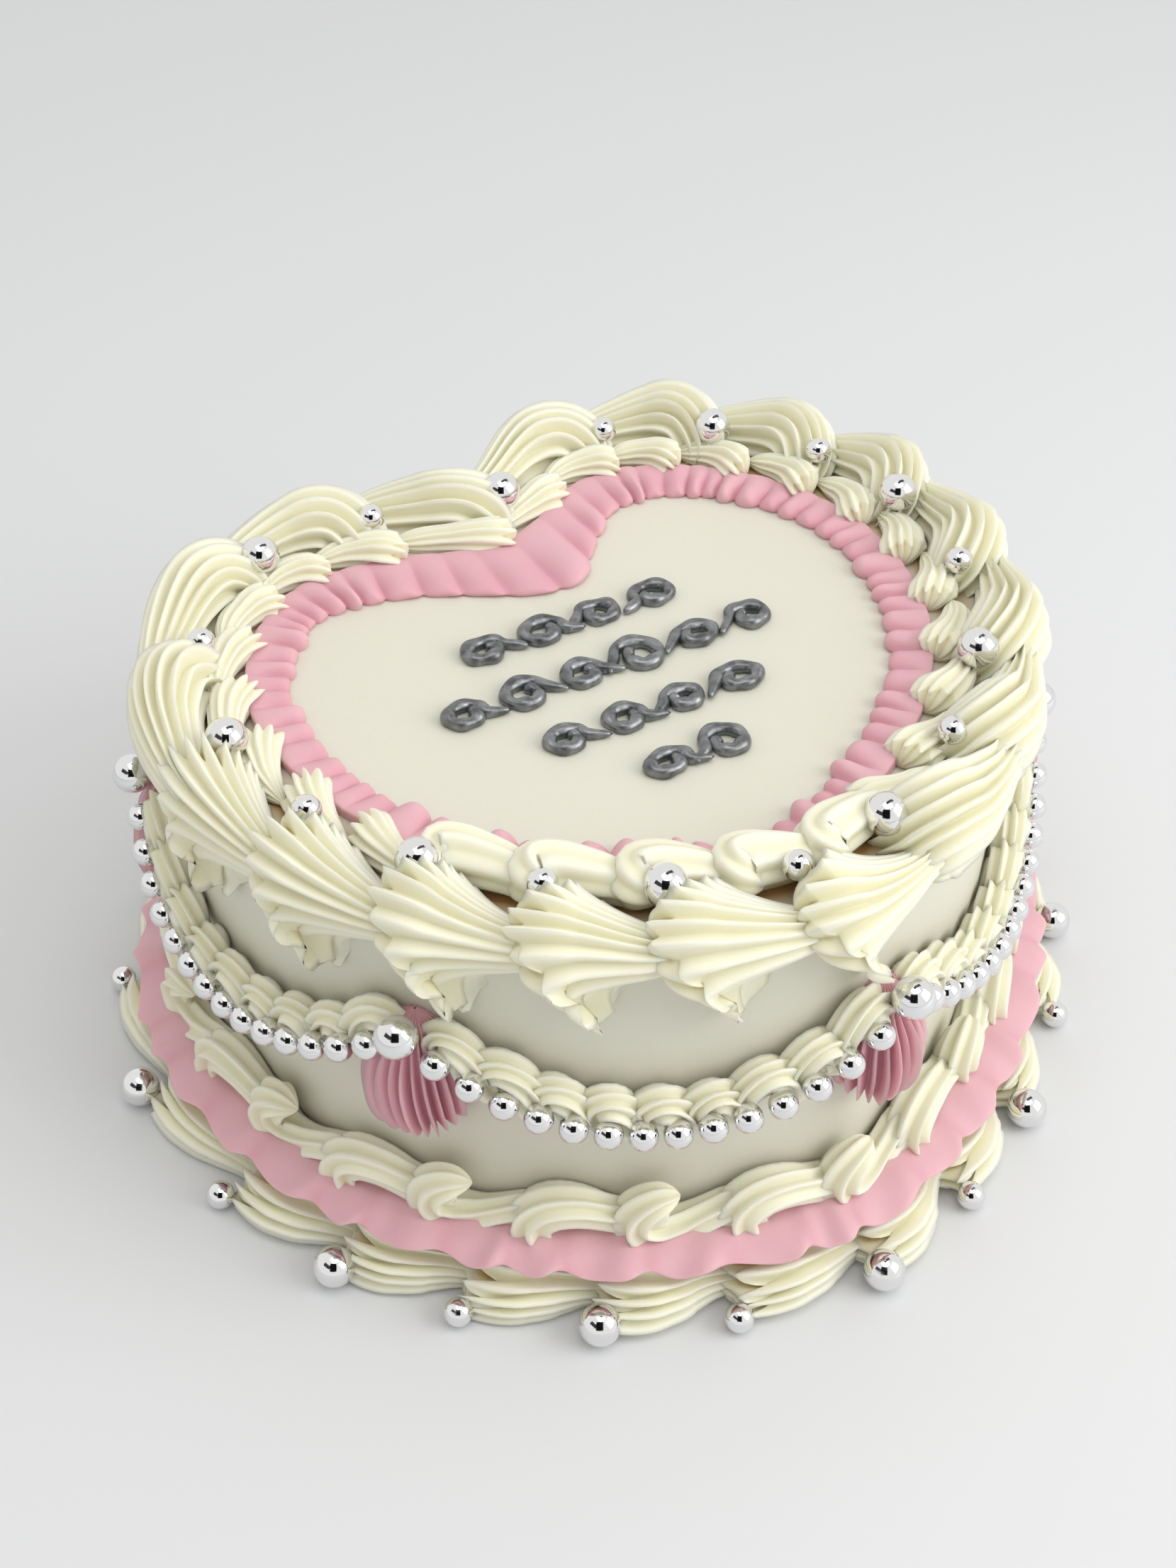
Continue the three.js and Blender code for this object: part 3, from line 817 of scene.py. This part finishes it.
# %% Drops
DROP_TIP = {
    **FAN_TIP, "ridges": 26, "crowd": 0, "depth": 0.4, "lean": 0.15, "twist": 0.25, "uneven": 0.05,
    "wide": 13.6, "tall": 13.0,
    "fat": [
        (0, 0.4), (0.08, 0.72), (0.2, 0.92), (0.35, 1.0), (0.5, 0.98),
        (0.65, 0.84), (0.8, 0.58), (0.92, 0.34), (1, 0.02),
    ],
    "rim": [
        (-180, 0.35), (-90, 0.4), (0, 0.33), (30, 0.13), (60, 0.06),
        (90, 0.04), (120, 0.06), (150, 0.13), (180, 0.35),
    ],
    "open": [(-180, 1), (180, 1)], "teeth": 0.02, "blunt": 2.6, "inset": 0, "flare": 0.03, "flare_run": 0.1,
    "hook": (0, 0, 0), "dark": 0,
}
DROP_PATH = [(0, -1, 45), (0, 0.5, 49), (0, 1, 54), (0, 1, 60), (0, 1.5, 67), (0, 2, 73), (0, 2, 78)]


def drop(i):
    bm = new_bmesh()
    rng = np.random.default_rng(600 + i)
    share = i / SWAG["count"] + SWAG["phase"]
    wrap(bm, 176, 44, laid(stroke(DROP_TIP, DROP_PATH, rng, face=(0, 1, 0)), share))
    return finish_piece(f"pink_drop_{i + 1}", bm, pink, [f"drop_{i + 1}"])


for index in range(SWAG["count"]):
    drop(index)

# %% [markdown]
# ## Sugar balls
# Balls of ten and seven millimetres lie by turns in the dips between the shells. Large ones cover the ends
# of the swags, and strings of small ones follow their lower edge. Large balls are nodes of their own, and
# small ones replace parts of the border or swag that they are pressed into.

# %% Sugar balls
LARGE_BALL = 10
SMALL_BALL = 7
TOP_BALL = (-8.8, 112.2)
ANCHOR_BALL = (11.5, 78)
FOOT_BALL_OUT = 24
CHAIN = {"beads": 14, "out": 10.2, "below": 1.5, "detail": 3}


def ball(bm, diameter, place, detail=4):
    made = bmesh.ops.create_icosphere(bm, subdivisions=detail, radius=diameter / 2 * MM)["verts"]
    bmesh.ops.translate(bm, verts=made, vec=Vector(place))


def one_ball(name, diameter, place, node):
    bm = new_bmesh()
    ball(bm, diameter, place)
    return finish_piece(name, bm, silver_coat, [node])


def place_of(share, out, up):
    return around(np.array(share), np.array(float(out)), np.array(float(up)))


def all_balls():
    small = new_bmesh()
    for i, share in enumerate(TOP_SHELLS):
        place = place_of(share, *TOP_BALL)
        if i % 2:
            one_ball(f"large_top_ball_{i // 2 + 1}", LARGE_BALL, place, f"top_ball_{i // 2 + 1}")
        else:
            ball(small, SMALL_BALL, place)
    finish_piece("small_top_balls", small, silver_coat, ["top_outer_border"])
    small = new_bmesh()
    for i, share in enumerate(BASE_SHELLS):
        if i % 2 == 0:
            place = place_of(share, FOOT_BALL_OUT, LARGE_BALL / 2)
            one_ball(f"large_foot_ball_{i // 2 + 1}", LARGE_BALL, place, f"base_ball_{i // 2 + 1}")
        else:
            ball(small, SMALL_BALL, place_of(share, FOOT_BALL_OUT, SMALL_BALL / 2))
    finish_piece("small_foot_balls", small, silver_coat, ["base_shells"])
    for i in range(SWAG["count"]):
        start = i / SWAG["count"] + SWAG["phase"]
        one_ball(f"large_swag_ball_{i + 1}", LARGE_BALL, place_of(start, *ANCHOR_BALL), f"swag_ball_{i + 1}")
        beads = new_bmesh()
        for k in range(CHAIN["beads"]):
            w = (k + 0.5) / CHAIN["beads"]
            place = place_of(swag_share(start, w), CHAIN["out"], swag_height(w) - CHAIN["below"])
            ball(beads, SMALL_BALL, place, CHAIN["detail"])
        finish_piece(f"bead_string_{i + 1}", beads, silver_coat, [f"swag_{i + 1}"])


all_balls()

# %% [markdown]
# ## Scrolls on the top
# The top carries four rows of scrolls, piped with a fine round tip. Each scroll is a spiral whose foot
# touches the last one. The stroke is lumpy, because the icing comes out in little pushes.

# %% Scrolls
SCROLL_ROWS = [(8, 2), (-12, 3), (-32, 2), (-51, 1)]
SCROLL = {"pitch": 16, "size": 6.4, "turns": 1.2, "shrink": 0.62, "overlap": 2.6, "thick": 1.7}


def scroll_line(x, y, side, rng):
    points = [(x - side * SCROLL["overlap"], y - SCROLL["size"] * 0.5)]
    size = SCROLL["size"] * rng.uniform(0.82, 1.04)
    squash, start = rng.uniform(0.7, 1), rng.uniform(-0.3, 0.3)
    steps = 12
    for i in range(steps):
        turned = start + i / (steps - 1) * SCROLL["turns"] * 2 * math.pi
        radius = size * (1 - SCROLL["shrink"] * i / (steps - 1)) * rng.uniform(0.94, 1.06)
        across = SCROLL["pitch"] / 2 - radius * math.cos(turned)
        points.append((x + side * across, y + squash * radius * math.sin(turned)))
    return np.array(points)


def scroll_form(x, y, side, rng):
    line = scroll_line(x, y, side, rng)
    phase = rng.uniform(0, 6)

    def form(u, v):
        flat = on_path(line, v)
        along = normalised(on_path(line, np.minimum(v + 0.01, 1)) - on_path(line, np.maximum(v - 0.01, 0)))
        lumps = 1 + 0.11 * np.sin(v * 38 + phase) + 0.1 * np.sin(v * 17 + 2 * phase)
        fat = SCROLL["thick"] * np.sqrt(np.clip(1 - (2 * v - 1) ** 8, 0, 1)) * lumps
        angle = 2 * np.pi * u
        side_way = np.stack([-along[:, 1], along[:, 0]], -1)
        xy = flat + side_way * (fat * np.cos(angle))[:, None]
        up = CAKE_HEIGHT + 1.2 + fat * np.sin(angle)
        return np.concatenate([xy, up[:, None]], -1) * MM, np.zeros(len(u))

    return form


def scroll_row(i):
    bm = new_bmesh()
    rng = np.random.default_rng(700 + i)
    y, pairs = SCROLL_ROWS[i]
    for k in range(pairs):
        for side in (1, -1):
            wrap(bm, 16, 80, scroll_form(side * k * SCROLL["pitch"], y, side, rng))
    return finish_piece(f"scrolls_{i + 1}", bm, grey, [f"scroll_row_{i + 1}"])


for index in range(len(SCROLL_ROWS)):
    scroll_row(index)

# %% [markdown]
# ## Light and floor
# The cake stands on a plain pale floor in soft light: a large window in front on the right, the open sky
# above, and pale walls all round. Bright walls alone would leave the silver balls blank, so three dark
# cards, seen only in reflections, stand where the photographer and the darker parts of the room were.

# %% Light and floor
ROOM_STRENGTH = 0.74
MIRRORED_STRENGTH = 0.9


def area_light(name, direction, distance, size, power):
    light = bpy.data.objects.new(name, bpy.data.lights.new(name, "AREA"))
    light.data.shape = "SQUARE"
    light.data.size = size
    light.data.energy = power
    way = Vector(direction).normalized()
    light.location = way * distance + Vector((0, 0, 0.06))
    light.rotation_mode = "QUATERNION"
    light.rotation_quaternion = way.to_track_quat("Z", "Y")
    bpy.context.scene.collection.objects.link(light)
    return light


def glossy_card(name, direction, distance, size, colour):
    """A card that only mirrors see, in place of the photographer and the dark room in the real balls."""
    bm = bmesh.new()
    bmesh.ops.create_grid(bm, x_segments=1, y_segments=1, size=0.5)
    bmesh.ops.scale(bm, verts=bm.verts, vec=(*size, 1))
    mesh = bpy.data.meshes.new(name)
    bm.to_mesh(mesh)
    bm.free()
    material = bpy.data.materials.new(name)
    tree, shader = shader_nodes(material)
    shader.inputs["Base Color"].default_value = (*colour, 1)
    shader.inputs["Specular IOR Level"].default_value = 0
    mesh.materials.append(material)
    card = bpy.data.objects.new(name, mesh)
    way = Vector(direction).normalized()
    card.location = way * distance + Vector((0, 0, 0.06))
    card.rotation_mode = "QUATERNION"
    card.rotation_quaternion = way.to_track_quat("Z", "Y")
    for kind in ("camera", "diffuse", "transmission", "volume_scatter", "shadow"):
        setattr(card, "visible_" + kind, False)
    bpy.context.scene.collection.objects.link(card)


def plain_floor():
    bm = bmesh.new()
    bmesh.ops.create_grid(bm, x_segments=1, y_segments=1, size=3)
    mesh = bpy.data.meshes.new("floor")
    bm.to_mesh(mesh)
    bm.free()
    material = bpy.data.materials.new("floor")
    tree, shader = shader_nodes(material)
    shader.inputs["Base Color"].default_value = (0.70, 0.71, 0.72, 1)
    shader.inputs["Roughness"].default_value = 0.7
    mesh.materials.append(material)
    floor = bpy.data.objects.new("floor", mesh)
    floor.location.z = -0.0002
    bpy.context.scene.collection.objects.link(floor)


def bright_room():
    """An even pale room that is a little brighter in mirrors."""
    world = bpy.data.worlds.new("room")
    bpy.context.scene.world = world
    world.use_nodes = True
    tree = world.node_tree
    background = tree.nodes["Background"]
    background.inputs["Color"].default_value = (1.0, 0.995, 0.975, 1)
    light_path = tree.nodes.new("ShaderNodeLightPath")
    seen = tree.nodes.new("ShaderNodeMapRange")
    seen.inputs["To Min"].default_value = ROOM_STRENGTH
    seen.inputs["To Max"].default_value = MIRRORED_STRENGTH
    tree.links.new(light_path.outputs["Is Glossy Ray"], seen.inputs["Value"])
    tree.links.new(seen.outputs["Result"], background.inputs["Strength"])


plain_floor()
bright_room()
area_light("window", (0.56, -0.61, 0.50), 1.3, 0.9, 8.5)
area_light("sky", (0.0, -0.16, 0.97), 1.3, 0.9, 3.8)
glossy_card("photographer", (-0.42, -0.66, 0.62), 0.8, (0.5, 0.62), (0.01, 0.01, 0.012))
glossy_card("dark_wall", (-0.78, -0.20, 0.60), 1.0, (0.7, 0.3), (0.06, 0.06, 0.065))
glossy_card("dark_above", (0.30, 0.05, 0.95), 1.2, (0.3, 0.8), (0.10, 0.10, 0.11))
bpy.context.scene.view_settings.view_transform = "Standard"
print("lights", [light.name for light in bpy.data.lights])
